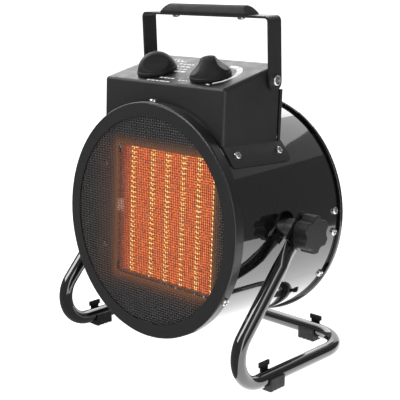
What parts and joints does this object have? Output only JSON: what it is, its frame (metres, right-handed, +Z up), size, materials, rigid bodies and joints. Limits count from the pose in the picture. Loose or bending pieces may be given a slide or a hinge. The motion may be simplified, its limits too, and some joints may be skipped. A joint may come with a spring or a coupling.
{
  "type": "ceramic space heater",
  "caption": "Round drum fan heater: glowing ceramic element behind woven mesh, sloping two-dial control hood, fold-down handle and bent-tube stand with star-knob tilt clamps.",
  "frame": {"origin": "centre of the footprint of the whole object at the rest pose, on the floor", "axes": "+Z up, +X to the right seen from behind the front face, front face towards -Y"},
  "size_m": [0.265, 0.1724, 0.3192],
  "materials": {
    "gloss_black": "high-gloss black enamel",
    "satin_black": "fine satin black powder coat",
    "mesh_black": "black coated woven wire",
    "steel_grey": "zinc-plated sheet",
    "black_washer": "black oxide",
    "screw_steel": "bright nickel plate",
    "element_glow": "hot aluminium fins, glowing orange",
    "strip_glow": "hottest strips, glowing yellow-orange",
    "divider_glow": "hot divider plates and frame",
    "copper": "bright copper alloy",
    "knob_black": "soft matt black moulding",
    "star_black": "fine-textured black phenolic",
    "fan_grey": "pressed aluminium",
    "rubber_black": "black moulded rubber",
    "nylon_black": "black nylon"
  },
  "bodies": {
    "stand": {"stand_tube": "gloss_black", "foot_front_right": "rubber_black", "foot_front_left": "rubber_black", "foot_rear_right": "rubber_black", "foot_rear_left": "rubber_black"},
    "handle": {"handle_strap": "satin_black", "handle_grip": "knob_black", "grip_screws": "screw_steel"},
    "selector_dial": {"selector_knob": "knob_black", "selector_spindle": "steel_grey"},
    "thermostat_dial": {"thermostat_knob": "knob_black", "thermostat_spindle": "steel_grey"},
    "fan": {"fan_blades": "fan_grey", "fan_nut": "steel_grey", "motor_shaft": "steel_grey"},
    "clamp_right_washer": {"clamp_washer_right": "black_washer"},
    "clamp_right_knob": {"star_knob_right": "star_black", "clamp_stud_right": "steel_grey"},
    "clamp_left_washer": {"clamp_washer_left": "black_washer"},
    "clamp_left_knob": {"star_knob_left": "star_black", "clamp_stud_left": "steel_grey"},
    "heater": {"baffle_plate": "satin_black", "baffle_screws": "screw_steel", "cable_gland": "nylon_black", "clamp_boss_left": "steel_grey", "clamp_boss_right": "steel_grey", "control_hood": "satin_black", "cover_screws": "screw_steel", "drum_shell": "gloss_black", "element_brackets": "steel_grey", "element_dividers": "divider_glow", "element_fins": "element_glow", "element_frame": "divider_glow", "element_strips": "strip_glow", "element_terminal": "copper", "front_mesh": "mesh_black", "front_ring": "satin_black", "front_ring_screws": "screw_steel", "gland_nut": "nylon_black", "hood_rear_cover": "satin_black", "hood_screws": "screw_steel", "mesh_retainer": "steel_grey", "motor_bracket": "steel_grey", "motor_bracket_screws": "screw_steel", "motor_can": "steel_grey", "pivot_screws": "screw_steel", "pivot_washers": "nylon_black", "rear_grille": "satin_black", "rear_ring": "gloss_black", "rear_ring_screws": "screw_steel", "selector_switch": "nylon_black", "sensing_tube": "copper", "terminal_block": "nylon_black", "thermal_cutout": "steel_grey", "thermostat": "nylon_black"}
  },
  "joints": [
    {"name": "tilt", "type": "hinge", "parent": "stand", "child": "heater", "pos_m": [0, -0.0035, 0.132], "axis": [-1, 0, 0], "range_deg": [-25, 40]},
    {"name": "handle_fold", "type": "hinge", "parent": "heater", "child": "handle", "pos_m": [0, 0.0049, 0.25674], "axis": [-1, 0, 0], "range_deg": [-36, 98]},
    {"name": "selector_turn", "type": "hinge", "parent": "heater", "child": "selector_dial", "pos_m": [-0.0295, -0.03202, 0.25941], "axis": [0, 0.2247, -0.9744], "range_deg": [0, 135]},
    {"name": "thermostat_turn", "type": "hinge", "parent": "heater", "child": "thermostat_dial", "pos_m": [0.0365, -0.03202, 0.25941], "axis": [0, 0.2247, -0.9744], "range_deg": [0, 270]},
    {"name": "fan_spin", "type": "hinge", "parent": "heater", "child": "fan", "pos_m": [0, -0.01558, 0.13058], "axis": [0, 0.9988, -0.048], "continuous": true},
    {"name": "clamp_right_back_off", "type": "slide", "parent": "heater", "child": "clamp_right_washer", "axis": [1, 0, 0], "range_m": [0, 0.002]},
    {"name": "clamp_right_turn", "type": "hinge", "parent": "clamp_right_washer", "child": "clamp_right_knob", "pos_m": [0, -0.0035, 0.132], "axis": [1, 0, 0], "range_deg": [0, 724]},
    {"name": "clamp_left_back_off", "type": "slide", "parent": "heater", "child": "clamp_left_washer", "axis": [-1, 0, 0], "range_m": [0, 0.002]},
    {"name": "clamp_left_turn", "type": "hinge", "parent": "clamp_left_washer", "child": "clamp_left_knob", "pos_m": [0, -0.0035, 0.132], "axis": [-1, 0, 0], "range_deg": [0, 724]}
  ],
  "couplings": [
    {"joint": "clamp_right_turn", "follows": "clamp_right_back_off", "rad_per_m": 6283.2},
    {"joint": "clamp_left_turn", "follows": "clamp_left_back_off", "rad_per_m": 6283.2}
  ]
}
